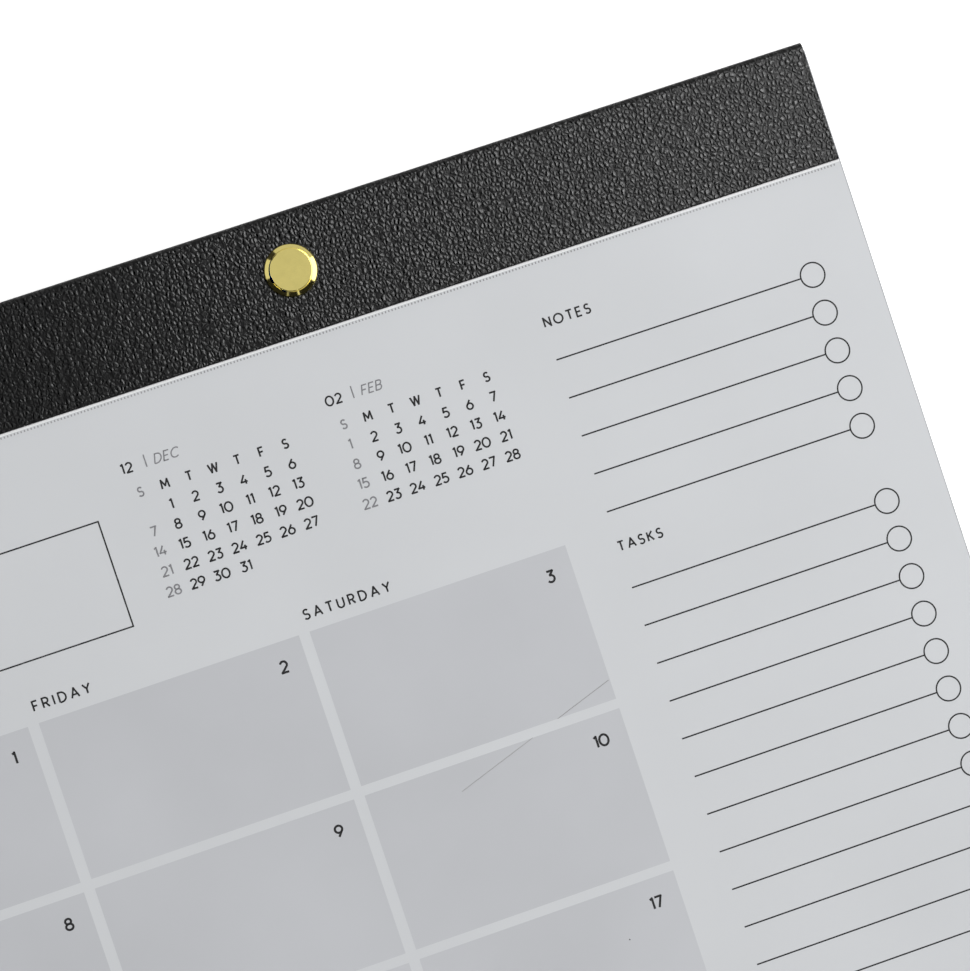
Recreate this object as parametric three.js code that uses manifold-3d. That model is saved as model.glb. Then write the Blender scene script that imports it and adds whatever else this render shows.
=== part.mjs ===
// A compact month-at-a-glance desk pad: a stack of printed month sheets on a
// chipboard back, bound along the top by a folded leatherette band that two
// brass screw posts clamp through the whole stack.
//
// Millimetres, +Z up. The pad lies on its back with its printed side up and its
// band towards +Y. The origin is under the middle of the pad, level with the
// lowest faces, which are the heads of the two back screws.

import * as THREE from "three";
import { mergeVertices } from "three/addons/utils/BufferGeometryUtils.js";
import Module from "manifold-3d";

// The pad, its layers from front to back, and the room they leave each other.
const PAD_WIDTH = 450.85;
const PAD_LENGTH = 279.4;
const SHEET_STACK = 1.5;
const BOARD_THICKNESS = 1.2;
const LEATHER_THICKNESS = 0.8;
const SIDE_CLEARANCE = 0.3;

// The folded band: how far its two flaps reach from the fold, the inside radius
// of the fold, how far its ends stay behind the sheets, and its softened edges.
const FRONT_FLAP = 23.25;
const BACK_FLAP = 22;
const FOLD_RADIUS = 0.5;
const BAND_END_INSET = 0.34;
const LEATHER_EDGE_RADIUS = 0.3;

// The screw posts: where they stand, their front heads and barrels.
const POST_FROM_SIDE = 105.7;
const POST_FROM_FOLD = 11.15;
const HEAD_RADIUS = 5;
const HEAD_RIM = 0.5;
const FACE_RADIUS = 3.95;
const FACE_HEIGHT = 1.25;
const FACE_STEP = 0.15;
const BARREL_RADIUS = 2.5;

// The back screws: low slotted heads and the stems inside the barrels.
const SCREW_HEAD_RADIUS = 5;
const SCREW_HEAD_HEIGHT = 0.9;
const SCREW_HEAD_BEVEL = 0.35;
const SLOT_WIDTH = 1.2;
const SLOT_DEPTH = 0.45;
const STEM_RADIUS = 1.4;
const STEM_LENGTH = 2.8;

// The printed page, measured from the fold and from the sides of the sheets:
// a month grid of grey day boxes beside a column of ruled lines that each end
// in a ring, and a framed box above the grid.
const PAGE_MARGIN = 10.3;
const NOTES_COLUMN = 73.1;
const GRID_FROM_FOLD = 76.2;
const DAY_COLUMNS = 7;
const DAY_ROWS = 6;
const COLUMN_GAP = 2.1;
const ROW_GAP = 1.87;
const FIRST_RULE_FROM_FOLD = 42.6;
const RULE_PITCH = 7.55;
const RULE_START_FROM_SIDE = 63.6;
const HEADING_ROW = 5;
const RING_FROM_SIDE = 12;
const RING_RADIUS = 2.5;
const LINE_WIDTH = 0.24;
const FRAME_FROM_FOLD = 44.1;
const FRAME_HEIGHT = 20.8;
const FRAME_FROM_SIDE = 154.25;
const FRAME_COLUMNS = 4;
const INK_DEPTH = 0.05;

const TURN_SEGMENTS = 48;
const RING_SEGMENTS = 24;

// Heights of the layers' faces above the table.
const bandBack = SCREW_HEAD_HEIGHT;
const boardBack = bandBack + LEATHER_THICKNESS;
const sheetsBack = boardBack + BOARD_THICKNESS;
const sheetsFront = sheetsBack + SHEET_STACK;
const bandFront = sheetsFront + LEATHER_THICKNESS;

// The pad's edges. The sheets and the board stop short of the fold, where its
// inside starts to curve.
const right = PAD_WIDTH / 2;
const foldEdge = PAD_LENGTH / 2;
const tailEdge = -PAD_LENGTH / 2;
const stackEdge = foldEdge - LEATHER_THICKNESS - FOLD_RADIUS - SIDE_CLEARANCE;
const postHoleRadius = BARREL_RADIUS + SIDE_CLEARANCE;
const postCentres = {
  left: new THREE.Vector2(-right + POST_FROM_SIDE, foldEdge - POST_FROM_FOLD),
  right: new THREE.Vector2(right - POST_FROM_SIDE, foldEdge - POST_FROM_FOLD),
};

const leather = new THREE.MeshStandardMaterial({ color: 0x2b2c2d, roughness: 0.55, metalness: 0 });
const brass = new THREE.MeshStandardMaterial({ color: 0xd0b45c, roughness: 0.22, metalness: 0.95 });
const backBrass = new THREE.MeshStandardMaterial({ color: 0xc4a653, roughness: 0.35, metalness: 0.95 });
const chipboard = new THREE.MeshStandardMaterial({ color: 0x8f8577, roughness: 0.95, metalness: 0 });
const paper = new THREE.MeshStandardMaterial({ color: 0xf1f2f4, roughness: 0.85, metalness: 0 });
const boxInk = new THREE.MeshStandardMaterial({ color: 0xdfe0e4, roughness: 0.85, metalness: 0 });
const lineInk = new THREE.MeshStandardMaterial({ color: 0x2a2a2d, roughness: 0.85, metalness: 0 });

const wasm = await Module();
wasm.setup();

// A closed geometry as a solid that can be joined and cut.
function toSolid(geometry) {
  const bare = geometry.index ? geometry.toNonIndexed() : geometry.clone();
  bare.deleteAttribute("normal");
  bare.deleteAttribute("uv");
  const merged = mergeVertices(bare, 1e-4);
  return new wasm.Manifold(
    new wasm.Mesh({
      numProp: 3,
      vertProperties: merged.attributes.position.array,
      triVerts: new Uint32Array(merged.index.array),
    }),
  );
}

// The solid's surface again as a geometry, with one group for each run of
// triangles and the material slot that slotOf gives the run's solid.
function toGeometry(solid, slotOf = () => 0) {
  const mesh = solid.getMesh();
  const geometry = new THREE.BufferGeometry();
  geometry.setAttribute("position", new THREE.BufferAttribute(mesh.vertProperties, 3));
  geometry.setIndex(new THREE.BufferAttribute(mesh.triVerts, 1));
  for (let run = 0; run + 1 < mesh.runIndex.length; run++) {
    const start = mesh.runIndex[run];
    geometry.addGroup(start, mesh.runIndex[run + 1] - start, slotOf(mesh.runOriginalID[run]));
  }
  const faceted = geometry.toNonIndexed();
  faceted.computeVertexNormals();
  return faceted;
}

function rectangle(fromX, toX, fromY, toY) {
  const shape = new THREE.Shape();
  shape.moveTo(fromX, fromY);
  shape.lineTo(toX, fromY);
  shape.lineTo(toX, toY);
  shape.lineTo(fromX, toY);
  shape.closePath();
  return shape;
}

function circle(centre, radius, segments) {
  const points = [];
  for (let i = 0; i < segments; i++) {
    const angle = (2 * Math.PI * i) / segments;
    points.push(
      new THREE.Vector2(centre.x + radius * Math.cos(angle), centre.y + radius * Math.sin(angle)),
    );
  }
  return new THREE.Path(points);
}

// A shape pierced by both posts.
function pierced(shape) {
  for (const centre of Object.values(postCentres))
    shape.holes.push(circle(centre, postHoleRadius, TURN_SEGMENTS));
  return shape;
}

function slab(shapes, fromZ, toZ) {
  const geometry = new THREE.ExtrudeGeometry(shapes, { depth: toZ - fromZ, bevelEnabled: false });
  geometry.translate(0, 0, fromZ);
  return geometry;
}

// A profile of radius and height, turned about the Z axis.
function turned(profile) {
  const points = profile.map(([radius, height]) => new THREE.Vector2(radius, height));
  return new THREE.LatheGeometry(points, TURN_SEGMENTS).rotateX(Math.PI / 2);
}

// The shapes printed on a sheet.
const dayBoxes = [];
const lineWork = [];

const gridRight = right - NOTES_COLUMN;
const gridTop = foldEdge - GRID_FROM_FOLD;
const gridBottom = tailEdge + PAGE_MARGIN;
const columnPitch = (gridRight + right - PAGE_MARGIN + COLUMN_GAP) / DAY_COLUMNS;
const rowPitch = (gridTop - gridBottom + ROW_GAP) / DAY_ROWS;
for (let row = 0; row < DAY_ROWS; row++) {
  for (let column = 0; column < DAY_COLUMNS; column++) {
    const boxRight = gridRight - column * columnPitch;
    const boxTop = gridTop - row * rowPitch;
    dayBoxes.push(
      rectangle(boxRight - columnPitch + COLUMN_GAP, boxRight, boxTop - rowPitch + ROW_GAP, boxTop),
    );
  }
}

// The rules run down beside the grid to its foot. The heading of the lower list
// takes the place of one of them.
const firstRule = foldEdge - FIRST_RULE_FROM_FOLD;
const ringX = right - RING_FROM_SIDE;
const ruleCount = 1 + Math.floor((firstRule - gridBottom + LINE_WIDTH) / RULE_PITCH);
for (let row = 0; row < ruleCount; row++) {
  if (row === HEADING_ROW) continue;
  const y = firstRule - row * RULE_PITCH;
  const ring = new THREE.Shape(
    circle(new THREE.Vector2(ringX, y), RING_RADIUS, RING_SEGMENTS).getPoints(),
  );
  ring.holes.push(circle(new THREE.Vector2(ringX, y), RING_RADIUS - LINE_WIDTH, RING_SEGMENTS));
  const ruleEnd = ringX - RING_RADIUS + LINE_WIDTH / 2;
  lineWork.push(ring);
  lineWork.push(
    rectangle(right - RULE_START_FROM_SIDE, ruleEnd, y - LINE_WIDTH / 2, y + LINE_WIDTH / 2),
  );
}

// The framed box ends over the left edge of a day column.
const frameRight = right - FRAME_FROM_SIDE;
const frameLeft = gridRight - (FRAME_COLUMNS + 1) * columnPitch + COLUMN_GAP;
const frameTop = foldEdge - FRAME_FROM_FOLD;
const frameBottom = frameTop - FRAME_HEIGHT;
const frame = rectangle(frameLeft, frameRight, frameBottom, frameTop);
frame.holes.push(
  rectangle(
    frameLeft + LINE_WIDTH,
    frameRight - LINE_WIDTH,
    frameBottom + LINE_WIDTH,
    frameTop - LINE_WIDTH,
  ),
);
lineWork.push(frame);

// The sheets are one solid. The ink lies in its front face, level with the
// paper, so each printed shape is cut out of the stack and set back in its place.
const blankStack = toSolid(
  slab(pierced(rectangle(-right, right, tailEdge, stackEdge)), sheetsBack, sheetsFront),
);
const inkBack = sheetsFront - INK_DEPTH;
const inkAbove = sheetsFront + INK_DEPTH;
// Each rule overlaps its ring, so the line work is joined shape by shape.
const lineTool = lineWork
  .map((shape) => toSolid(slab(shape, inkBack, inkAbove)))
  .reduce((joined, solid) => joined.add(solid));
const boxTool = toSolid(slab(dayBoxes, inkBack, inkAbove));
const boxPrint = blankStack.intersect(boxTool).asOriginal();
const linePrint = blankStack.intersect(lineTool).asOriginal();
const printedStack = blankStack.subtract(boxTool).subtract(lineTool).add(boxPrint).add(linePrint);
const slots = new Map([
  [boxPrint.originalID(), 1],
  [linePrint.originalID(), 2],
]);

const pageBlock = new THREE.Mesh(
  toGeometry(printedStack, (id) => slots.get(id) ?? 0),
  [paper, boxInk, lineInk],
);
pageBlock.name = "page_block";

const backingBoard = new THREE.Mesh(
  slab(pierced(rectangle(-right, right, tailEdge, stackEdge)), boardBack, sheetsBack),
  chipboard,
);
backingBoard.name = "backing_board";

// The band's section: back flap, round the fold, front flap, and back inside.
function bandSection() {
  const outer = FOLD_RADIUS + LEATHER_THICKNESS;
  const foldCentre = foldEdge - outer;
  const softened = LEATHER_EDGE_RADIUS;
  const quarter = Math.PI / 2;
  const section = new THREE.Shape();
  section.moveTo(foldEdge - BACK_FLAP, boardBack);
  section.absarc(
    foldEdge - BACK_FLAP + softened, bandBack + softened, softened, 2 * quarter, 3 * quarter,
  );
  section.absarc(foldCentre, bandBack + outer, outer, -quarter, 0);
  section.absarc(foldCentre, bandFront - outer, outer, 0, quarter);
  section.absarc(
    foldEdge - FRONT_FLAP + softened, bandFront - softened, softened, quarter, 2 * quarter,
  );
  section.lineTo(foldEdge - FRONT_FLAP, sheetsFront);
  section.absarc(foldCentre, sheetsFront - FOLD_RADIUS, FOLD_RADIUS, quarter, 0, true);
  section.absarc(foldCentre, boardBack + FOLD_RADIUS, FOLD_RADIUS, 0, -quarter, true);
  section.closePath();
  return section;
}

// The section runs along X: its own X is the pad's Y and its own Y is the height.
const bandLength = PAD_WIDTH - 2 * BAND_END_INSET;
const bandGeometry = new THREE.ExtrudeGeometry(bandSection(), {
  depth: bandLength,
  bevelEnabled: false,
  curveSegments: 8,
});
bandGeometry.translate(0, 0, -bandLength / 2);
bandGeometry.applyMatrix4(
  new THREE.Matrix4().makeBasis(
    new THREE.Vector3(0, 1, 0),
    new THREE.Vector3(0, 0, 1),
    new THREE.Vector3(1, 0, 0),
  ),
);
let bandSolid = toSolid(bandGeometry);
for (const centre of Object.values(postCentres)) {
  const drill = new THREE.CylinderGeometry(
    postHoleRadius, postHoleRadius, 2 * bandFront, TURN_SEGMENTS,
  );
  drill.rotateX(Math.PI / 2).translate(centre.x, centre.y, bandFront / 2);
  bandSolid = bandSolid.subtract(toSolid(drill));
}
const headerBand = new THREE.Mesh(toGeometry(bandSolid), leather);
headerBand.name = "header_band";

// Front half of a screw post, standing on the band: a barrel with a blind bore
// under a low head, whose bevel climbs from the rim to a small step and a flat face.
const boreRadius = STEM_RADIUS + SIDE_CLEARANCE;
const barrelEnd = bandBack + SIDE_CLEARANCE - bandFront;
const boreEnd = bandBack + STEM_LENGTH + SIDE_CLEARANCE - bandFront;
const postGeometry = turned([
  [0, boreEnd],
  [boreRadius, boreEnd],
  [boreRadius, barrelEnd],
  [BARREL_RADIUS, barrelEnd],
  [BARREL_RADIUS, 0],
  [HEAD_RADIUS, 0],
  [HEAD_RADIUS, HEAD_RIM],
  [FACE_RADIUS + FACE_STEP, FACE_HEIGHT - FACE_STEP],
  [FACE_RADIUS, FACE_HEIGHT - FACE_STEP],
  [FACE_RADIUS, FACE_HEIGHT - FACE_STEP / 2],
  [FACE_RADIUS - FACE_STEP / 2, FACE_HEIGHT],
  [0, FACE_HEIGHT],
]);

// Back half: a bevelled head with a straight slot, lying face down under the
// band, and a stem that fills the bore's length.
const screwBlank = turned([
  [0, 0],
  [SCREW_HEAD_RADIUS - SCREW_HEAD_BEVEL, 0],
  [SCREW_HEAD_RADIUS, SCREW_HEAD_BEVEL],
  [SCREW_HEAD_RADIUS, SCREW_HEAD_HEIGHT],
  [STEM_RADIUS, SCREW_HEAD_HEIGHT],
  [STEM_RADIUS, SCREW_HEAD_HEIGHT + STEM_LENGTH],
  [0, SCREW_HEAD_HEIGHT + STEM_LENGTH],
]);
const slotTool = new THREE.BoxGeometry(3 * SCREW_HEAD_RADIUS, SLOT_WIDTH, 2 * SLOT_DEPTH);
const screwGeometry = toGeometry(toSolid(screwBlank).subtract(toSolid(slotTool)));

const pad = new THREE.Group();
pad.add(backingBoard, pageBlock, headerBand);
for (const [side, centre] of Object.entries(postCentres)) {
  const post = new THREE.Mesh(postGeometry, brass);
  post.name = `post_${side}`;
  post.position.set(centre.x, centre.y, bandFront);
  const screw = new THREE.Mesh(screwGeometry, backBrass);
  screw.name = `post_screw_${side}`;
  screw.position.set(centre.x, centre.y, 0);
  pad.add(post, screw);
}

export default pad;
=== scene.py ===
# %% [markdown]
# # A desk pad calendar
# A stack of printed month sheets lies on a chipboard back. A folded leatherette band binds it
# along the top, and two brass screw posts clamp the band, the sheets and the board together.
# The solids come in first as a fixed frame. Every piece made here is fitted to them, in metres.

import math

import bpy
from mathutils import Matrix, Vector


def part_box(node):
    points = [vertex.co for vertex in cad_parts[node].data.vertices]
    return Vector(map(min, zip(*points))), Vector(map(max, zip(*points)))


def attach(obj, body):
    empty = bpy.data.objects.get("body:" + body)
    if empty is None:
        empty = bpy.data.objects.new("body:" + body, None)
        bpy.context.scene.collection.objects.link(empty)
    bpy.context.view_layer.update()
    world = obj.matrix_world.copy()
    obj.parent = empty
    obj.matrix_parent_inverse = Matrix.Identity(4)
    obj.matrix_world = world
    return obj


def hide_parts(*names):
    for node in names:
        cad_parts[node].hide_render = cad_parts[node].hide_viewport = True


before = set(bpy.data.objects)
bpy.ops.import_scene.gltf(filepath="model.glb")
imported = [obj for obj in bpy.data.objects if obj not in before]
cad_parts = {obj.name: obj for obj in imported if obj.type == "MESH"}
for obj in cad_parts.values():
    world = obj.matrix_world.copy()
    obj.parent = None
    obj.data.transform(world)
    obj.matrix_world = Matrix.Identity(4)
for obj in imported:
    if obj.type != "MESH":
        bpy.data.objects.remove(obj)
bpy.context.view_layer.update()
MM = 0.001


# %% [markdown]
# An operator acts on everything that is selected, and the frame's nodes arrive selected, so each
# step begins with nothing selected and names what it works on.

# %% Selecting
def select_only(*objects):
    bpy.ops.object.select_all(action="DESELECT")
    for piece in objects:
        piece.select_set(True)
    bpy.context.view_layer.objects.active = objects[0]


def named(piece, name):
    piece.name = name
    piece.data.name = name
    return piece


def settle(piece):
    """Puts the object's place, turn and size into its mesh."""
    select_only(piece)
    bpy.ops.object.transform_apply(location=True, rotation=True, scale=True)
    return piece


def join_all(pieces, name):
    select_only(*pieces)
    if len(pieces) > 1:
        bpy.ops.object.join()
    return settle(named(bpy.context.view_layer.objects.active, name))


# %% [markdown]
# The page is laid out as a printer would: distances run leftwards from the right edge of the
# sheets and down from the fold of the band. Two small functions turn them into the frame.

# %% The page's measures
BLOCK_LOW, BLOCK_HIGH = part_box("page_block")
BAND_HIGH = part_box("header_band")[1]
PAGE_RIGHT = BLOCK_HIGH[0]
PAGE_LEFT = BLOCK_LOW[0]
PAGE_TAIL = BLOCK_LOW[1]
PAGE_TOP = BLOCK_HIGH[2]
FOLD = BAND_HIGH[1]
BAND_FRONT = BAND_HIGH[2]
FRONT_FLAP = 23.25 * MM


def across(from_side):
    return PAGE_RIGHT - from_side * MM


def down(from_fold):
    return FOLD - from_fold * MM


NOTES_COLUMN = 73.1
GRID_FROM_FOLD = 76.2
PAGE_MARGIN = 10.3
COLUMN_GAP = 2.1
ROW_GAP = 1.87
DAY_COLUMNS = 7
DAY_ROWS = 6
page_width = (PAGE_RIGHT - PAGE_LEFT) / MM
pad_length = (FOLD - PAGE_TAIL) / MM
column_pitch = (page_width - NOTES_COLUMN - PAGE_MARGIN + COLUMN_GAP) / DAY_COLUMNS
row_pitch = (pad_length - GRID_FROM_FOLD - PAGE_MARGIN + ROW_GAP) / DAY_ROWS
box_width = column_pitch - COLUMN_GAP
box_height = row_pitch - ROW_GAP
print("column pitch", column_pitch, "row pitch", row_pitch)


# %% [markdown]
# The camera looks almost straight down on the pad's upper right corner, turned so that the band
# climbs to the right. Its place and turn come from the page's straight lines and equal pitches.

# %% Camera
IMAGE_HEIGHT_PX = 971
FOCAL_PX = 2500
SENSOR_MM = 36
CAMERA_X = 0.105898
CAMERA_Y = 0.092270
CAMERA_OVER_PAGE = 0.468588
CAMERA_TURN = (-0.1631, -4.6378, -18.4784)
bpy.ops.object.camera_add(
    location=(CAMERA_X, CAMERA_Y, PAGE_TOP + CAMERA_OVER_PAGE),
    rotation=[math.radians(angle) for angle in CAMERA_TURN],
)
camera = bpy.context.object
camera.data.sensor_width = SENSOR_MM
camera.data.lens = FOCAL_PX / IMAGE_HEIGHT_PX * SENSOR_MM
camera.data.clip_start = 0.01
bpy.context.scene.camera = camera
print("lens", camera.data.lens)

# %% [markdown]
# The sky lights the pad softly from all sides, and the camera sees it as plain white paper.
# Shiny surfaces see a studio instead, whose brightness depends on the direction of the ray. Two
# helpers come first: one places a sum among the world's nodes, the other a blend of two levels.

# %% Sky
SKY_LEVEL = 0.30
scene = bpy.context.scene
scene.view_settings.view_transform = "Standard"
world = bpy.data.worlds.new("studio")
scene.world = world
world.use_nodes = True
sky_nodes = world.node_tree.nodes
sky_links = world.node_tree.links
sky = sky_nodes["Background"]
sky.inputs["Color"].default_value = (1, 1, 1, 1)


def sky_math(operation, first, second=None):
    node = sky_nodes.new("ShaderNodeMath")
    node.operation = operation
    for socket, value in zip(node.inputs, (first, second)):
        if value is None:
            continue
        if isinstance(value, (int, float)):
            socket.default_value = value
        else:
            sky_links.new(value, socket)
    return node.outputs[0]


def sky_blend(factor, low, high):
    node = sky_nodes.new("ShaderNodeMapRange")
    for name, value in (("Value", factor), ("To Min", low), ("To Max", high)):
        if isinstance(value, (int, float)):
            node.inputs[name].default_value = value
        else:
            sky_links.new(value, node.inputs[name])
    return node.outputs["Result"]


direction = sky_nodes.new("ShaderNodeTexCoord")
toward = sky_nodes.new("ShaderNodeSeparateXYZ")
sky_links.new(direction.outputs["Generated"], toward.inputs[0])
print("view transform:", scene.view_settings.view_transform)

# %% [markdown]
# Low around the table stand dark walls with windows between them. The bevels of the post heads
# catch them as bright arcs.

# %% Walls
# Where each stretch of wall begins, in degrees from +X, and how bright it is.
STUDIO_WALLS = [
    (-180, 0.02),
    (-119, 0.45),
    (-114, 0.02),
    (-91, 1.0),
    (-86, 0.02),
    (-39, 2.7),
    (17, 0.66),
    (110, 0.04),
    (132, 0.80),
    (178, 0.02),
]
WALL_PEAK = 2.7
turn = sky_math("ARCTAN2", toward.outputs["Y"], toward.outputs["X"])
turn = sky_math("ADD", sky_math("DIVIDE", turn, 2 * math.pi), 0.5)
walls = sky_nodes.new("ShaderNodeValToRGB")
walls.color_ramp.interpolation = "CONSTANT"
stops = walls.color_ramp.elements
stops.remove(stops[1])
for index, (angle, shade) in enumerate(STUDIO_WALLS):
    stop = stops[0] if index == 0 else stops.new(angle / 360 + 0.5)
    stop.color = (shade / WALL_PEAK, shade / WALL_PEAK, shade / WALL_PEAK, 1)
sky_links.new(turn, walls.inputs["Fac"])
wall_level = sky_math("MULTIPLY", walls.outputs["Color"], WALL_PEAK)
print("stretches of wall:", len(stops))

# %% [markdown]
# The ceiling is dim on the left and bright on the right, so the flat brass faces stay calm while
# the leatherette gets paler towards the right. It fades into the walls lower down.

# %% Ceiling
# The ceiling's brightness over the X of the direction that looks at it.
CEILING = [(-0.28, 0.06), (0.0, 0.66), (0.10, 0.70), (0.38, 0.95), (0.62, 4.4), (1.0, 4.4)]
CEILING_STARTS = 0.50
CEILING_FULL = 0.66
height = sky_nodes.new("ShaderNodeMapRange")
height.inputs["From Min"].default_value = CEILING_STARTS
height.inputs["From Max"].default_value = CEILING_FULL
sky_links.new(toward.outputs["Z"], height.inputs["Value"])
ceiling = sky_nodes.new("ShaderNodeFloatCurve")
sky_links.new(toward.outputs["X"], ceiling.inputs["Value"])
mapping = ceiling.mapping
mapping.clip_min_x = -1.0
mapping.clip_max_y = 10.0
profile = mapping.curves[0]
for index, (x, level) in enumerate(CEILING):
    if index < 2:
        profile.points[index].location = (x, level)
    else:
        profile.points.new(x, level)
for point in profile.points:
    point.handle_type = "VECTOR"
mapping.update()
print("points of the ceiling:", len(profile.points))

# %% [markdown]
# Camera and transmission rays see white, glossy rays see the studio, and all others the sky.

# %% Who sees what
WHITE_LEVEL = 1.0
studio_level = sky_blend(height.outputs["Result"], wall_level, ceiling.outputs[0])
ray = sky_nodes.new("ShaderNodeLightPath")
plain_level = sky_blend(
    sky_math("MAXIMUM", ray.outputs["Is Camera Ray"], ray.outputs["Is Transmission Ray"]),
    SKY_LEVEL,
    WHITE_LEVEL,
)
sky_links.new(
    sky_blend(ray.outputs["Is Glossy Ray"], plain_level, studio_level), sky.inputs["Strength"]
)
print("nodes in the world:", len(sky_nodes))

# %% [markdown]
# Two softboxes: a long window high on the right, which gives the pebbles of the leatherette
# their sheen and the pad its shadow, and a weak one on the left that fills the shadow.

# %% Lamps
def softbox(name, place, aim, size, power):
    bpy.ops.object.light_add(type="AREA", location=place)
    lamp = bpy.context.object
    lamp.name = name
    lamp.data.shape = "RECTANGLE"
    lamp.data.size, lamp.data.size_y = size
    lamp.data.energy = power
    lamp.rotation_euler = (Vector(aim) - Vector(place)).to_track_quat("-Z", "Y").to_euler()
    return lamp


window = softbox(
    "window", place=(0.62, 0.22, 0.90), aim=(0.12, 0.05, 0), size=(0.80, 0.28), power=7.8
)
fill = softbox("fill", place=(-0.75, -0.35, 1.1), aim=(0, 0, 0), size=(0.5, 0.5), power=2.1)
print("lamps:", window.name, window.data.energy, fill.name, fill.data.energy)


# %% [markdown]
# Most finishes here share two effects, so each is a node group that is built once: a soft cloud
# of lighter and darker patches, and fine fibres. Both put out a plain value.

# %% Shared node groups
def new_group(name, inputs, outputs):
    group = bpy.data.node_groups.new(name, "ShaderNodeTree")
    for socket, start in inputs.items():
        item = group.interface.new_socket(socket, in_out="INPUT", socket_type="NodeSocketFloat")
        item.default_value = start
    for socket in outputs:
        group.interface.new_socket(socket, in_out="OUTPUT", socket_type="NodeSocketFloat")
    start_node = group.nodes.new("NodeGroupInput")
    end_node = group.nodes.new("NodeGroupOutput")
    return group, start_node, end_node


def make_cloud():
    group, start_node, end_node = new_group("cloud", {"Scale": 40, "Detail": 3}, ["Value"])
    place = group.nodes.new("ShaderNodeTexCoord")
    noise = group.nodes.new("ShaderNodeTexNoise")
    group.links.new(place.outputs["Object"], noise.inputs["Vector"])
    group.links.new(start_node.outputs["Scale"], noise.inputs["Scale"])
    group.links.new(start_node.outputs["Detail"], noise.inputs["Detail"])
    group.links.new(noise.outputs["Fac"], end_node.inputs["Value"])
    return group


def make_fibres():
    group, start_node, end_node = new_group("fibres", {"Scale": 900, "Stretch": 4}, ["Value"])
    place = group.nodes.new("ShaderNodeTexCoord")
    stretch = group.nodes.new("ShaderNodeVectorMath")
    stretch.operation = "MULTIPLY"
    combine = group.nodes.new("ShaderNodeCombineXYZ")
    combine.inputs["Y"].default_value = 1
    combine.inputs["Z"].default_value = 1
    inverse = group.nodes.new("ShaderNodeMath")
    inverse.operation = "DIVIDE"
    inverse.inputs[0].default_value = 1
    noise = group.nodes.new("ShaderNodeTexNoise")
    noise.inputs["Detail"].default_value = 4
    group.links.new(start_node.outputs["Stretch"], inverse.inputs[1])
    group.links.new(inverse.outputs[0], combine.inputs["X"])
    group.links.new(place.outputs["Object"], stretch.inputs[0])
    group.links.new(combine.outputs[0], stretch.inputs[1])
    group.links.new(stretch.outputs[0], noise.inputs["Vector"])
    group.links.new(start_node.outputs["Scale"], noise.inputs["Scale"])
    group.links.new(noise.outputs["Fac"], end_node.inputs["Value"])
    return group


cloud_group = make_cloud()
fibre_group = make_fibres()
print("groups:", cloud_group.name, fibre_group.name)


# %% [markdown]
# A material is a Principled shader whose colour, roughness and bump come from those groups.
# tint spreads a value between two colours, spread between two levels.

# %% Material helpers
# A Mix node has a pair of sockets for each kind of data: these are the ones for colours.
MIX_FACTOR, MIX_FIRST, MIX_SECOND, MIX_RESULT = 0, 6, 7, 2


def new_finish(name, roughness, metallic=0.0):
    finish = bpy.data.materials.new(name)
    finish.use_nodes = True
    shader = finish.node_tree.nodes["Principled BSDF"]
    shader.inputs["Roughness"].default_value = roughness
    shader.inputs["Metallic"].default_value = metallic
    return finish, finish.node_tree.nodes, finish.node_tree.links, shader


def effect(nodes, group, **values):
    node = nodes.new("ShaderNodeGroup")
    node.node_tree = group
    for socket, value in values.items():
        node.inputs[socket].default_value = value
    return node.outputs["Value"]


def tint(nodes, links, value, dark, light, low=0.3, high=0.7):
    ramp = nodes.new("ShaderNodeMapRange")
    ramp.inputs["From Min"].default_value = low
    ramp.inputs["From Max"].default_value = high
    links.new(value, ramp.inputs["Value"])
    mix = nodes.new("ShaderNodeMix")
    mix.data_type = "RGBA"
    mix.inputs[MIX_FIRST].default_value = (*dark, 1)
    mix.inputs[MIX_SECOND].default_value = (*light, 1)
    links.new(ramp.outputs["Result"], mix.inputs[MIX_FACTOR])
    return mix.outputs[MIX_RESULT]


def bump(nodes, links, height, distance, strength=1.0, normal=None):
    node = nodes.new("ShaderNodeBump")
    node.inputs["Distance"].default_value = distance
    node.inputs["Strength"].default_value = strength
    links.new(height, node.inputs["Height"])
    if normal is not None:
        links.new(normal, node.inputs["Normal"])
    return node.outputs["Normal"]


def spread(nodes, links, value, low, high):
    ramp = nodes.new("ShaderNodeMapRange")
    ramp.inputs["To Min"].default_value = low
    ramp.inputs["To Max"].default_value = high
    links.new(value, ramp.inputs["Value"])
    return ramp.outputs["Result"]


def dress(piece, finish):
    piece.data.materials.clear()
    piece.data.materials.append(finish)


# %% [markdown]
# Paper: an uncoated white sheet. It is matt, with hardly any tooth. A faint cloud of paler and
# darker patches in its colour is partly the sheet's formation and partly painted soft glare.
# The same recipe with a darker tone makes the printed grey.

# %% Paper finishes
PAPER_TONE = (0.622, 0.636, 0.654)
PAPER_ROUGHNESS = 0.82
PAPER_TOOTH = 0.00001


def paper_finish(name, tone, variation=0.022, cloud_scale=24):
    finish, nodes, links, shader = new_finish(name, PAPER_ROUGHNESS)
    # The cloud in the colour is partly the paper's formation and partly painted soft glare.
    cloud = effect(nodes, cloud_group, Scale=cloud_scale, Detail=4)
    dark = [channel * (1 - variation) for channel in tone]
    light = [channel * (1 + variation) for channel in tone]
    links.new(tint(nodes, links, cloud, dark, light), shader.inputs["Base Color"])
    fibre = effect(nodes, fibre_group, Scale=2600, Stretch=3)
    links.new(bump(nodes, links, fibre, PAPER_TOOTH, 0.5), shader.inputs["Normal"])
    return finish


paper = paper_finish("paper_white", PAPER_TONE)
print("finish:", paper.name)
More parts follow.
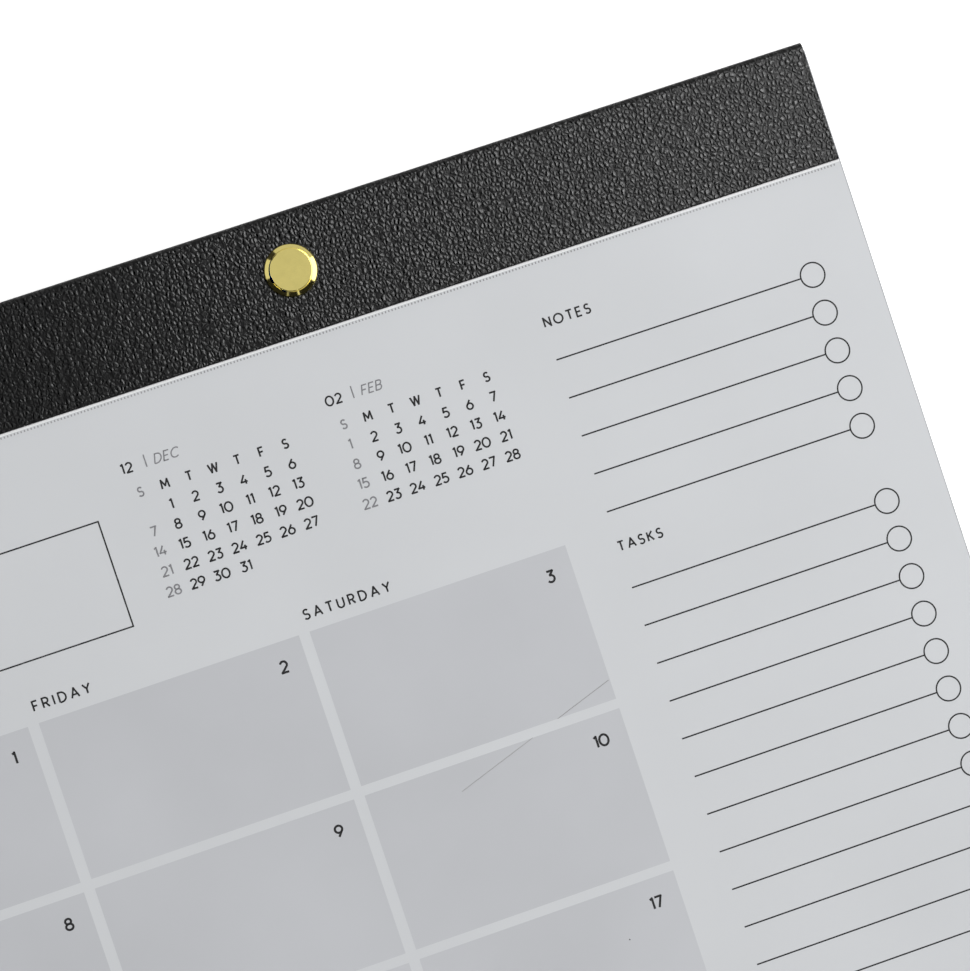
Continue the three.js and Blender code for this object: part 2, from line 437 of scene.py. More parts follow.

# %% [markdown]
# The sides of the stack show the single sheets as fine lines, and the darker bands are painted
# shade in the thin gaps between the sheets. They follow the height alone, so bands across Z, bent
# a little by noise, draw them on all four sides.

# %% Sheet edges
SHEET_COUNT = 14
SHEET_WANDER = 0.4
SHEET_RELIEF = 0.00005
sheet_edges, nodes, links, shader = new_finish("sheet_edges", 0.88)
place = nodes.new("ShaderNodeTexCoord")
split = nodes.new("ShaderNodeSeparateXYZ")
links.new(place.outputs["Object"], split.inputs[0])
layer = nodes.new("ShaderNodeMath")
layer.operation = "MULTIPLY"
layer.inputs[1].default_value = SHEET_COUNT / (PAGE_TOP - BLOCK_LOW[2])
links.new(split.outputs["Z"], layer.inputs[0])
wander = nodes.new("ShaderNodeMath")
wander.operation = "ADD"
links.new(layer.outputs[0], wander.inputs[0])
cloud = effect(nodes, cloud_group, Scale=90, Detail=2)
links.new(spread(nodes, links, cloud, -SHEET_WANDER, SHEET_WANDER), wander.inputs[1])
fraction = nodes.new("ShaderNodeMath")
fraction.operation = "PINGPONG"
fraction.inputs[1].default_value = 0.5
links.new(wander.outputs[0], fraction.inputs[0])
# The dark end of this tint is painted shade in the gaps between the sheets.
links.new(
    tint(nodes, links, fraction.outputs[0], (0.36, 0.37, 0.39), (0.60, 0.61, 0.63), 0.0, 0.35),
    shader.inputs["Base Color"],
)
edge_relief = bump(nodes, links, fraction.outputs[0], SHEET_RELIEF, 0.8)
links.new(edge_relief, shader.inputs["Normal"])
dress(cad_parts["page_block"], sheet_edges)
print("lines on the sides of the stack:", SHEET_COUNT)

# %% [markdown]
# Chipboard is pressed grey-brown pulp: cloudy, with darker and paler specks and a dry surface.

# %% Backing board
BOARD_RELIEF = 0.00006
chipboard, nodes, links, shader = new_finish("chipboard", 0.92)
speck = effect(nodes, fibre_group, Scale=1400, Stretch=2)
patch = effect(nodes, cloud_group, Scale=25, Detail=5)
blend = nodes.new("ShaderNodeMix")
blend.data_type = "RGBA"
blend.blend_type = "MULTIPLY"
blend.inputs[MIX_FACTOR].default_value = 1.0
pulp = tint(nodes, links, patch, (0.30, 0.265, 0.215), (0.36, 0.32, 0.265))
links.new(pulp, blend.inputs[MIX_FIRST])
specks = tint(nodes, links, speck, (0.72, 0.72, 0.70), (1, 1, 1))
links.new(specks, blend.inputs[MIX_SECOND])
links.new(blend.outputs[MIX_RESULT], shader.inputs["Base Color"])
links.new(bump(nodes, links, speck, BOARD_RELIEF, 0.6), shader.inputs["Normal"])
dress(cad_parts["backing_board"], chipboard)
print("finish:", chipboard.name)

# %% [markdown]
# The top sheet is a grid, thin and nearly flat. It lies tight at the band and swells by a
# fraction of a millimetre away from it, as a bound sheet does. The print lies on the same
# swell, so its height is a function that the ink can ask too.

# %% Top sheet
SHEET_THICKNESS = 0.09 * MM
SHEET_STEP = 2.5 * MM
SHEET_INSET = 0.2 * MM
SHEET_FILLED = 0.9
SWELL_REACH = 90 * MM
SWELL_HEIGHT = 0.16 * MM
sheet_top_edge = down(0) - FRONT_FLAP


def swell(x, y):
    """Height of the top sheet's face over the stack at a place on the page."""
    away = min(1.0, max(0.0, (sheet_top_edge - y) / SWELL_REACH))
    ease = away * away * (3 - 2 * away)
    broad_wave = 0.30 * math.sin(x / 0.047 + 0.8)
    slanting_wave = 0.20 * math.sin(y / 0.031 + x / 0.11)
    return SHEET_THICKNESS + SWELL_HEIGHT * ease * (0.5 + broad_wave + slanting_wave)


def lay_on_sheet(piece, lift):
    """Sets every corner of a flat print on the sheet's face, a hair above it."""
    for vertex in piece.data.vertices:
        vertex.co.z = PAGE_TOP + swell(vertex.co.x, vertex.co.y) + lift
    piece.data.update()


def flat_patch(name, left, right, low, high, step):
    """A flat rectangle in the page's plane, cut into squares of about one step."""
    columns = max(1, round((right - left) / step))
    rows = max(1, round((high - low) / step))
    bpy.ops.object.select_all(action="DESELECT")
    bpy.ops.mesh.primitive_grid_add(
        x_subdivisions=columns,
        y_subdivisions=rows,
        size=1,
        location=((left + right) / 2, (low + high) / 2, PAGE_TOP),
    )
    patch = named(bpy.context.object, name)
    patch.scale = (right - left, high - low, 1)
    return settle(patch)


top_sheet = flat_patch(
    "top_sheet",
    PAGE_LEFT + SHEET_INSET,
    PAGE_RIGHT - SHEET_INSET,
    PAGE_TAIL + SHEET_INSET,
    sheet_top_edge,
    SHEET_STEP,
)
lay_on_sheet(top_sheet, 0)
thick = top_sheet.modifiers.new("thickness", "SOLIDIFY")
thick.thickness = SHEET_THICKNESS * SHEET_FILLED
thick.offset = -1
select_only(top_sheet)
bpy.ops.object.modifier_apply(modifier=thick.name)
dress(top_sheet, paper)
print("top sheet faces:", len(top_sheet.data.polygons))

# %% [markdown]
# Ink on paper has no thickness to speak of. Each printed shape is a flat patch that lies a
# hundredth of a millimetre over the sheet: pale grey day boxes, then nearly black line work.

# %% Ink finishes
INK_LIFT = 0.012 * MM
LINE_LIFT = 0.022 * MM
# The pale grey ink's stronger, broader cloud is painted soft glare: patches of sheen over the
# boxes.
box_ink = paper_finish("ink_pale_grey", (0.532, 0.542, 0.566), 0.05, 19)
dark_ink = paper_finish("ink_dark", (0.008, 0.008, 0.009), 0.05)
soft_ink = paper_finish("ink_soft_grey", (0.230, 0.232, 0.245), 0.03)
print("inks:", box_ink.name, dark_ink.name, soft_ink.name)

# %% [markdown]
# One day box is a patch of the grid's size. The others are copies, moved by the grid's pitches
# and joined to it.

# %% Day boxes
first_box = flat_patch(
    "day_box",
    across(NOTES_COLUMN + box_width),
    across(NOTES_COLUMN),
    down(GRID_FROM_FOLD + box_height),
    down(GRID_FROM_FOLD),
    5 * MM,
)
boxes = [first_box]
for row in range(DAY_ROWS):
    for column in range(DAY_COLUMNS):
        if row == 0 and column == 0:
            continue
        copy = first_box.copy()
        copy.data = first_box.data.copy()
        copy.location = (-column * column_pitch * MM, -row * row_pitch * MM, 0)
        scene.collection.objects.link(copy)
        boxes.append(copy)
day_boxes = join_all(boxes, "day_boxes")
lay_on_sheet(day_boxes, INK_LIFT)
dress(day_boxes, box_ink)
print("day boxes:", len(boxes))

# %% [markdown]
# The rules and their rings repeat at one pitch. One rule is a long thin patch, and one ring is a
# circle, filled and inset so that only its rim stays.

# %% Rules and rings
RULE_START = 63.6
FIRST_RULE = 42.6
RULE_PITCH = 7.55
HEADING_ROW = 5
RING_CENTRE = 12.0
RING_RADIUS = 2.5
LINE_WIDTH = 0.285
LINE_STEP = 3 * MM
rule_count = 1 + math.floor((pad_length - PAGE_MARGIN - FIRST_RULE + LINE_WIDTH) / RULE_PITCH)


def ring_at(name, x, y, radius, line_width, sides=48):
    """A flat ring: a filled circle whose face is inset by the line's width and deleted."""
    bpy.ops.object.select_all(action="DESELECT")
    bpy.ops.mesh.primitive_circle_add(
        vertices=sides, radius=radius, fill_type="NGON", location=(x, y, PAGE_TOP)
    )
    ring = named(bpy.context.object, name)
    bpy.ops.object.mode_set(mode="EDIT")
    bpy.ops.mesh.select_all(action="SELECT")
    bpy.ops.mesh.inset(thickness=line_width)
    bpy.ops.mesh.delete(type="ONLY_FACE")
    bpy.ops.object.mode_set(mode="OBJECT")
    return settle(ring)


line_pieces = []
for row in range(rule_count):
    if row == HEADING_ROW:
        continue
    y = down(FIRST_RULE + row * RULE_PITCH)
    half = LINE_WIDTH / 2 * MM
    rule_end = across(RING_CENTRE + RING_RADIUS - LINE_WIDTH / 2)
    line_pieces.append(
        flat_patch("rule", across(RULE_START), rule_end, y - half, y + half, LINE_STEP)
    )
    line_pieces.append(
        ring_at("ring", across(RING_CENTRE), y, RING_RADIUS * MM, LINE_WIDTH * MM)
    )
rules = join_all(line_pieces, "rules_and_rings")
lay_on_sheet(rules, LINE_LIFT)
dress(rules, dark_ink)
print("rules:", rule_count - 1)

# %% [markdown]
# The framed box over the grid is four such patches, end to end.

# %% Framed box
FRAME_TOP = 44.1
FRAME_HEIGHT = 20.8
FRAME_RIGHT = 154.25
FRAME_COLUMNS = 4
FRAME_LINE = 0.29 * MM
frame_left = NOTES_COLUMN + (FRAME_COLUMNS + 1) * column_pitch - COLUMN_GAP
low, high = down(FRAME_TOP + FRAME_HEIGHT), down(FRAME_TOP)
left, right = across(frame_left), across(FRAME_RIGHT)
inner_low, inner_high = low + FRAME_LINE, high - FRAME_LINE
bars = [
    flat_patch("side", left, right, inner_high, high, LINE_STEP),
    flat_patch("side", left, right, low, inner_low, LINE_STEP),
    flat_patch("side", left, left + FRAME_LINE, inner_low, inner_high, LINE_STEP),
    flat_patch("side", right - FRAME_LINE, right, inner_low, inner_high, LINE_STEP),
]
frame_box = join_all(bars, "framed_box")
lay_on_sheet(frame_box, LINE_LIFT)
dress(frame_box, dark_ink)
print("framed box:", [round(size / MM, 2) for size in (right - left, high - low)], "mm")

# %% [markdown]
# Figures and letters are thin and even, as if drawn with a round pen. Each sign is a few strokes
# on a grid one unit high, made of straight runs and arcs.

# %% Arcs
ARC_STEP = 18


def arc(cx, cy, rx, ry, start, end):
    """Points along part of an ellipse, angles in degrees."""
    count = max(3, round(abs(end - start) / ARC_STEP))
    points = []
    for i in range(count + 1):
        angle = math.radians(start + (end - start) * i / count)
        points.append((cx + rx * math.cos(angle), cy + ry * math.sin(angle)))
    return points


print("points of a full turn:", len(arc(0, 0, 1, 1, 0, 360)))

# %% [markdown]
# The table holds each sign's width and its strokes, both as shares of the sign's height.

# %% Signs
SIGNS = {
    "0": (0.82, [arc(0.41, 0.5, 0.41, 0.5, 90, 450)]),
    "1": (0.26, [[(0.0, 0.88), (0.22, 1.0), (0.22, 0.0)]]),
    "2": (0.62, [arc(0.31, 0.70, 0.30, 0.30, 160, -30) + [(0.0, 0.0), (0.62, 0.0)]]),
    "3": (0.62, [[(0.04, 1.0), (0.58, 1.0), (0.27, 0.62)]
                 + arc(0.28, 0.31, 0.32, 0.31, 80, -150)]),
    "4": (0.70, [[(0.70, 0.27), (0.0, 0.27), (0.46, 1.0)], [(0.50, 0.52), (0.50, 0.0)]]),
    "5": (0.62, [[(0.56, 1.0), (0.12, 1.0), (0.06, 0.56)]
                 + arc(0.28, 0.31, 0.33, 0.31, 100, -145)]),
    "6": (0.66, [arc(0.33, 0.32, 0.33, 0.32, 150, 510), [(0.04, 0.46), (0.46, 1.0)]]),
    "7": (0.60, [[(0.0, 1.0), (0.60, 1.0), (0.20, 0.0)]]),
    "8": (0.64, [arc(0.32, 0.27, 0.32, 0.27, 90, 450), arc(0.32, 0.76, 0.26, 0.24, -90, 270)]),
    "9": (0.66, [arc(0.33, 0.68, 0.33, 0.32, -30, 330), [(0.62, 0.54), (0.20, 0.0)]]),
    "A": (0.80, [[(0.0, 0.0), (0.40, 1.0), (0.80, 0.0)], [(0.14, 0.33), (0.66, 0.33)]]),
    "B": (0.60, [[(0.0, 0.52), (0.0, 1.0), (0.28, 1.0)] + arc(0.30, 0.76, 0.24, 0.24, 90, -90)
                 + [(0.0, 0.52), (0.0, 0.0), (0.32, 0.0)] + arc(0.34, 0.26, 0.26, 0.26, -90, 90)]),
    "C": (0.78, [arc(0.48, 0.5, 0.48, 0.5, 48, 312)]),
    "D": (0.72, [[(0.0, 0.0), (0.0, 1.0), (0.24, 1.0)] + arc(0.24, 0.5, 0.48, 0.5, 90, -90)
                 + [(0.0, 0.0)]]),
    "E": (0.52, [[(0.52, 1.0), (0.0, 1.0), (0.0, 0.0), (0.52, 0.0)], [(0.0, 0.52), (0.46, 0.52)]]),
    "F": (0.50, [[(0.50, 1.0), (0.0, 1.0), (0.0, 0.0)], [(0.0, 0.50), (0.44, 0.50)]]),
    "H": (0.66, [[(0.0, 0.0), (0.0, 1.0)], [(0.66, 0.0), (0.66, 1.0)],
                 [(0.0, 0.52), (0.66, 0.52)]]),
    "I": (0.02, [[(0.0, 0.0), (0.0, 1.0)]]),
    "J": (0.42, [[(0.42, 1.0), (0.42, 0.26)] + arc(0.20, 0.24, 0.22, 0.24, 0, -150)]),
    "K": (0.60, [[(0.0, 0.0), (0.0, 1.0)], [(0.56, 1.0), (0.0, 0.42)],
                 [(0.18, 0.60), (0.60, 0.0)]]),
    "L": (0.48, [[(0.0, 1.0), (0.0, 0.0), (0.48, 0.0)]]),
    "M": (0.84, [[(0.0, 0.0), (0.06, 1.0), (0.42, 0.30), (0.78, 1.0), (0.84, 0.0)]]),
    "N": (0.68, [[(0.0, 0.0), (0.0, 1.0), (0.68, 0.0), (0.68, 1.0)]]),
    "O": (0.98, [arc(0.49, 0.5, 0.49, 0.5, 90, 450)]),
    "R": (0.60, [[(0.0, 0.0), (0.0, 1.0), (0.30, 1.0)] + arc(0.30, 0.73, 0.27, 0.27, 90, -90)
                 + [(0.0, 0.46)], [(0.30, 0.46), (0.60, 0.0)]]),
    "S": (0.56, [arc(0.28, 0.75, 0.25, 0.25, 35, 250) + arc(0.28, 0.26, 0.28, 0.26, 75, -150)]),
    "T": (0.66, [[(0.0, 1.0), (0.66, 1.0)], [(0.33, 1.0), (0.33, 0.0)]]),
    "U": (0.66, [[(0.0, 1.0), (0.0, 0.36)] + arc(0.33, 0.34, 0.33, 0.34, 180, 360)
                 + [(0.66, 1.0)]]),
    "W": (1.06, [[(0.0, 1.0), (0.28, 0.0), (0.53, 0.95), (0.78, 0.0), (1.06, 1.0)]]),
    "Y": (0.70, [[(0.0, 1.0), (0.35, 0.48), (0.70, 1.0)], [(0.35, 0.48), (0.35, 0.0)]]),
    "|": (0.02, [[(0.0, -0.2), (0.0, 1.2)]]),
}
print("signs:", len(SIGNS))

# %% [markdown]
# A pen gathers the strokes of many words and draws them as one mesh: a curve with a round bevel,
# pressed flat on the page. Such a bevel gets thin where its curve turns sharply, so a stroke is
# cut at its corners first.

# %% Pen strokes
SHARP_TURN = math.radians(40)
CORNER_OVERLAP = 0.35
SAME_POINT = 1e-7
# Share of a stroke's round section that is left when it is pressed flat.
PRESSED = 0.02


def word_width(text, height, tracking):
    return sum(SIGNS[sign][0] for sign in text) * height + tracking * (len(text) - 1)


def split_at_corners(points, line_width):
    """Cuts a stroke at its sharp corners and lets the runs overlap there by part of a line."""
    points = [Vector(point) for point in points]
    points = points[:1] + [b for a, b in zip(points, points[1:]) if (b - a).length > SAME_POINT]
    runs = [[points[0]]]
    for before, corner, after in zip(points, points[1:], points[2:]):
        runs[-1].append(corner)
        if (corner - before).angle(after - corner) > SHARP_TURN:
            runs.append([corner])
    runs[-1].append(points[-1])
    for index, run in enumerate(runs):
        if index > 0:
            run[0] = run[0] - (run[1] - run[0]).normalized() * line_width * CORNER_OVERLAP
        if index < len(runs) - 1:
            run[-1] = run[-1] + (run[-1] - run[-2]).normalized() * line_width * CORNER_OVERLAP
    return [[tuple(point) for point in run] for run in runs]


class Pen:
    """Collects strokes, in metres on the page, and draws them all as one flat mesh."""

    def __init__(self, name, line_width, finish):
        self.name = name
        self.line_width = line_width
        self.finish = finish
        self.strokes = []

    def write(self, text, x, base, height, tracking, align="left", slant=0.0):
        """Writes a word. x is leftwards from the page's side, base is down from the fold."""
        width = word_width(text, height, tracking)
        start = {"left": 0, "right": -width, "middle": -width / 2}[align]
        for sign in text:
            sign_width, strokes = SIGNS[sign]
            for stroke in strokes:
                placed = [
                    (across(x - start - (px + slant * py) * height), down(base - py * height))
                    for px, py in stroke
                ]
                self.strokes.extend(split_at_corners(placed, self.line_width * MM))
            start += sign_width * height + tracking

    def draw(self):
        bpy.ops.object.select_all(action="DESELECT")
        curve = bpy.data.curves.new(self.name, "CURVE")
        curve.dimensions = "3D"
        curve.bevel_depth = self.line_width / 2 * MM
        curve.bevel_resolution = 1
        curve.use_fill_caps = True
        for stroke in self.strokes:
            closed = (Vector(stroke[0]) - Vector(stroke[-1])).length < SAME_POINT
            points = stroke[:-1] if closed else stroke
            spline = curve.splines.new("POLY")
            spline.points.add(len(points) - 1)
            for point, (x, y) in zip(spline.points, points):
                point.co = (x, y, PAGE_TOP, 1)
            spline.use_cyclic_u = closed
        drawn = bpy.data.objects.new(self.name, curve)
        scene.collection.objects.link(drawn)
        select_only(drawn)
        bpy.ops.object.convert(target="MESH")
        drawn = named(bpy.context.object, self.name)
        for vertex in drawn.data.vertices:
            over = (vertex.co.z - PAGE_TOP) * PRESSED
            vertex.co.z = PAGE_TOP + swell(vertex.co.x, vertex.co.y) + LINE_LIFT + over
        dress(drawn, self.finish)
        print(self.name, "strokes:", len(self.strokes), "faces:", len(drawn.data.polygons))
        return drawn


# %% [markdown]
# The month starts on a Thursday, so the first row of boxes holds three days. The date stands in
# each box's upper right corner, and the weekday over the left edge of its column.

# %% Dates and weekdays
DATE_HEIGHT = 2.1
DATE_FROM_RIGHT = 3.8
DATE_FROM_TOP = 3.7
DATE_TRACKING = 0.42
HEADING_HEIGHT = 1.8
HEADING_BASE = 73.85
HEADING_TRACKING = 1.0
FIRST_WEEKDAY = 4
MONTH_DAYS = 31
WEEKDAYS = ["SUNDAY", "MONDAY", "TUESDAY", "WEDNESDAY", "THURSDAY", "FRIDAY", "SATURDAY"]
dates = Pen("dates", 0.43, dark_ink)
for day in range(1, MONTH_DAYS + 1):
    cell = FIRST_WEEKDAY + day - 1
    from_right = (DAY_COLUMNS - 1 - cell % 7) * column_pitch + NOTES_COLUMN
    from_top = (cell // 7) * row_pitch + GRID_FROM_FOLD
    dates.write(
        str(day),
        from_right + DATE_FROM_RIGHT,
        from_top + DATE_FROM_TOP + DATE_HEIGHT,
        DATE_HEIGHT,
        DATE_TRACKING,
        "right",
    )
headings = Pen("weekday_headings", 0.34, dark_ink)
for index, weekday in enumerate(WEEKDAYS):
    left_edge = NOTES_COLUMN + (DAY_COLUMNS - index) * column_pitch - COLUMN_GAP
    headings.write(weekday, left_edge, HEADING_BASE, HEADING_HEIGHT, HEADING_TRACKING)
print("dates:", MONTH_DAYS, "weekdays:", len(WEEKDAYS))

# %% [markdown]
# Over the grid stand two small calendars, of the months before and after: a number and a word
# over seven columns of figures, with the Sundays in grey.

# %% Small calendars
SMALL_HEIGHT = 1.75
SMALL_TRACKING = 0.4
SMALL_PITCH_X = 4.71
SMALL_PITCH_Y = 3.86
FIRST_WEEK_MIDDLE = 45.4
INITIAL_HEIGHT = 1.65
INITIAL_BASE = 42.3
MONTH_HEIGHT = 1.75
MONTH_BASE = 37.37
MONTH_TRACKING = 0.5
MONTH_SLANT = 0.25
BAR_HEIGHT = 1.7
BAR_BASE = 37.1
small_dark = Pen("small_figures", 0.34, dark_ink)
small_soft = Pen("small_sundays", 0.29, soft_ink)
titles = Pen("titles", 0.33, dark_ink)
soft_titles = Pen("month_words", 0.24, soft_ink)


def small_calendar(first_column, title, word, first_weekday, days, title_at, bar_at, word_at):
    titles.write(title, title_at, MONTH_BASE, MONTH_HEIGHT, MONTH_TRACKING)
    soft_titles.write("|", bar_at, BAR_BASE, BAR_HEIGHT, 0)
    soft_titles.write(
        word, word_at, MONTH_BASE, MONTH_HEIGHT, MONTH_TRACKING, slant=MONTH_SLANT
    )
    for column, initial in enumerate("SMTWTFS"):
        pen = small_soft if column == 0 else small_dark
        x = first_column - column * SMALL_PITCH_X
        pen.write(initial, x, INITIAL_BASE, INITIAL_HEIGHT, 0, "middle")
    for day in range(1, days + 1):
        cell = first_weekday + day - 1
        pen = small_soft if cell % 7 == 0 else small_dark
        x = first_column - (cell % 7) * SMALL_PITCH_X
        base = FIRST_WEEK_MIDDLE + (cell // 7) * SMALL_PITCH_Y + SMALL_HEIGHT / 2
        pen.write(str(day), x, base, SMALL_HEIGHT, SMALL_TRACKING, "middle")


small_calendar(145.2, "12", "DEC", 1, 31, 147.3, 142.6, 141.0)
small_calendar(105.4, "02", "FEB", 0, 28, 107.3, 102.0, 100.4)

# %% [markdown]
# The ruled column has a heading over each of its two parts. When all is written, the pens draw.

# %% Column headings
COLUMN_HEADING_HEIGHT = 1.73
COLUMN_HEADING_TRACKING = 0.8
for word, base in (("NOTES", 36.1), ("TASKS", 80.6)):
    titles.write(word, RULE_START, base, COLUMN_HEADING_HEIGHT, COLUMN_HEADING_TRACKING)
big_titles = Pen("month_title", 0.62, dark_ink)
big_titles.write("01", page_width - PAGE_MARGIN, 56.0, 9.0, 2.0)
pens = (dates, headings, small_dark, small_soft, titles, soft_titles, big_titles)
prints = [pen.draw() for pen in pens]

# %% [markdown]
# The sheets tear off along a line of fine slits just under the band. The slits are painted
# shade: one slit is a short grey patch, and an array repeats it across the page.

# %% Tear line
SLIT_INSET = 0.3
SLIT_ROW_ENDS = 0.8
SLIT_PITCH = 0.647
SLIT_LENGTH = 0.24
SLIT_WIDTH = 0.36
SLITS_FROM_FOLD = 24.03
slit_shade_patch = flat_patch(
    "tear_line",
    PAGE_LEFT + SLIT_INSET * MM,
    PAGE_LEFT + (SLIT_INSET + SLIT_LENGTH) * MM,
    down(SLITS_FROM_FOLD + SLIT_WIDTH / 2),
    down(SLITS_FROM_FOLD - SLIT_WIDTH / 2),
    1 * MM,
)
repeat = slit_shade_patch.modifiers.new("repeat", "ARRAY")
repeat.use_relative_offset = False
repeat.use_constant_offset = True
repeat.constant_offset_displace = (SLIT_PITCH * MM, 0, 0)
repeat.count = int((page_width - SLIT_ROW_ENDS) / SLIT_PITCH)
slit_count = repeat.count
select_only(slit_shade_patch)
bpy.ops.object.modifier_apply(modifier=repeat.name)
lay_on_sheet(slit_shade_patch, LINE_LIFT)
# The grey is painted shade, where the sheet is cut through.
dress(slit_shade_patch, paper_finish("slit_shade", (0.30, 0.30, 0.31), 0.2))
print("slits:", slit_count)

# %% [markdown]
# The stub of paper between the band and the slits is painted much paler than the page.

# %% Stub
STUB_END = 23.70
STUB_STEP = 4 * MM
stub = flat_patch(
    "stub",
    PAGE_LEFT + SHEET_INSET,
    PAGE_RIGHT - SHEET_INSET,
    down(STUB_END),
    sheet_top_edge,
    STUB_STEP,
)
lay_on_sheet(stub, INK_LIFT)
dress(stub, paper_finish("paper_stub", (0.90, 0.905, 0.91)))
print("stub faces:", len(stub.data.polygons))

# %% [markdown]
# One faint crease runs slanting over two of the day boxes, drawn as a thin line of painted shade,
# and a dust speck lies in a third.

# %% Crease and speck
CREASE_START = (72.87, 102.84)
CREASE_END = (123.49, 119.65)
CREASE_WIDTH = 0.12
CREASE_STEPS = 8
crease_shade = paper_finish("crease_shade", (0.30, 0.30, 0.31), 0.1)
crease_end_shade = paper_finish("crease_end_shade", (0.36, 0.36, 0.37), 0.1)
crease_shade_pen = Pen("crease", CREASE_WIDTH, crease_shade)
crease_end_shade_pen = Pen("crease_end", CREASE_WIDTH, crease_end_shade)
speck_pen = Pen("speck", 0.24, dark_ink)


def crease_point(share):
    x, y = (start + share * (end - start) for start, end in zip(CREASE_START, CREASE_END))
    return across(x), down(y)


# Both crease lines are painted shade along the crease, the second one paler.
for pen, first, last in ((crease_shade_pen, 0.01, 0.236), (crease_end_shade_pen, 0.346, 0.66)):
    shares = [first + (last - first) * i / CREASE_STEPS for i in range(CREASE_STEPS + 1)]
    pen.strokes.append([crease_point(share) for share in shares])
speck_pen.strokes.append([(across(85.0), down(150.75)), (across(85.16), down(150.9))])
prints += [pen.draw() for pen in (crease_shade_pen, crease_end_shade_pen, speck_pen)]

# %% [markdown]
# Leatherette is cloth with a black coating, pressed with a pebble grain: domed pebbles under a
# millimetre across, with dark valleys between them. Cells give the pebbles, and a slow noise
# bends them.

# %% Pebbles
PEBBLE = 0.84 * MM
PEBBLE_BEND = 0.5 * MM
PEBBLE_SQUEEZE = (1.0, 0.86, 1.0)
PEBBLE_VALLEY = -0.08
PEBBLE_TOP = 0.46
leatherette, nodes, links, shader = new_finish("leatherette_black", 0.3)
place = nodes.new("ShaderNodeTexCoord")
bend = nodes.new("ShaderNodeTexNoise")
bend.inputs["Scale"].default_value = 900
bend.inputs["Detail"].default_value = 2
links.new(place.outputs["Object"], bend.inputs["Vector"])
offset = nodes.new("ShaderNodeVectorMath")
offset.operation = "MULTIPLY_ADD"
offset.inputs[1].default_value = (PEBBLE_BEND, PEBBLE_BEND, PEBBLE_BEND)
links.new(bend.outputs["Color"], offset.inputs[0])
links.new(place.outputs["Object"], offset.inputs[2])
squeeze = nodes.new("ShaderNodeVectorMath")
squeeze.operation = "MULTIPLY"
squeeze.inputs[1].default_value = PEBBLE_SQUEEZE
links.new(offset.outputs[0], squeeze.inputs[0])
cells = nodes.new("ShaderNodeTexVoronoi")
cells.feature = "DISTANCE_TO_EDGE"
cells.inputs["Scale"].default_value = 1 / PEBBLE
links.new(squeeze.outputs[0], cells.inputs["Vector"])
pebble = nodes.new("ShaderNodeMapRange")
pebble.interpolation_type = "SMOOTHERSTEP"
pebble.inputs["From Min"].default_value = PEBBLE_VALLEY
pebble.inputs["From Max"].default_value = PEBBLE_TOP
links.new(cells.outputs["Distance"], pebble.inputs["Value"])
grain = pebble.outputs["Result"]
print("pebble size:", PEBBLE)

# %% [markdown]
# The grain is pressed flatter along the middle of the band than towards its ends, so its depth
# grows with the distance from the middle.

# %% Depth of the grain
FLATTER_WITHIN = 60 * MM
DEEPER_BEYOND = 150 * MM
LEAST_DEPTH = 0.40
MOST_DEPTH = 0.87
axes = nodes.new("ShaderNodeSeparateXYZ")
links.new(place.outputs["Object"], axes.inputs["Vector"])
from_middle = nodes.new("ShaderNodeMath")
from_middle.operation = "ABSOLUTE"
links.new(axes.outputs["X"], from_middle.inputs[0])
depth = nodes.new("ShaderNodeMapRange")
depth.interpolation_type = "SMOOTHSTEP"
depth.inputs["From Min"].default_value = FLATTER_WITHIN
depth.inputs["From Max"].default_value = DEEPER_BEYOND
depth.inputs["To Min"].default_value = LEAST_DEPTH
depth.inputs["To Max"].default_value = MOST_DEPTH
links.new(from_middle.outputs[0], depth.inputs["Value"])
print("depth of the grain:", LEAST_DEPTH, "to", MOST_DEPTH)

# %% [markdown]
# Three bumps lie over each other: the pebbles, soft folds that let the grain come and go, and a
# fine tooth. The tops of the pebbles are smoother and shinier than the valleys, and the valleys
# get painted shade: a darker black in their colour.

# %% Leatherette
PEBBLE_RELIEF = 0.000105
FOLD_RELIEF = 0.00016
TOOTH_RELIEF = 0.00002
# The valleys' darker black is painted shade in the hollows between the pebbles.
VALLEY_SHADED_BLACK = (0.0026, 0.0027, 0.0028)
TOP_BLACK = (0.0055, 0.0057, 0.0058)
soft_folds = effect(nodes, fibre_group, Scale=380, Stretch=0.4)
fine = effect(nodes, cloud_group, Scale=2600, Detail=2)
first_bump = bump(nodes, links, grain, PEBBLE_RELIEF)
links.new(depth.outputs["Result"], first_bump.node.inputs["Strength"])
second_bump = bump(nodes, links, soft_folds, FOLD_RELIEF, normal=first_bump)
third_bump = bump(nodes, links, fine, TOOTH_RELIEF, normal=second_bump)
black_with_valley_shade = tint(nodes, links, grain, VALLEY_SHADED_BLACK, TOP_BLACK, 0.0, 0.9)
for value, socket in (
    (third_bump, "Normal"),
    (black_with_valley_shade, "Base Color"),
    (spread(nodes, links, grain, 0.34, 0.225), "Roughness"),
    (spread(nodes, links, grain, 0.18, 0.43), "Specular IOR Level"),
):
    links.new(value, shader.inputs[socket])
dress(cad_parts["header_band"], leatherette)
print("finish:", leatherette.name, "nodes:", len(nodes))

# %% [markdown]
# Brass: turned and polished. It has a very fine brushed tooth, so its roughness changes a
# little from place to place, and a faint cloud in its colour.

# %% Brass
BRUSHED_RELIEF = 0.000004
CLOUD_SHADE = 0.94


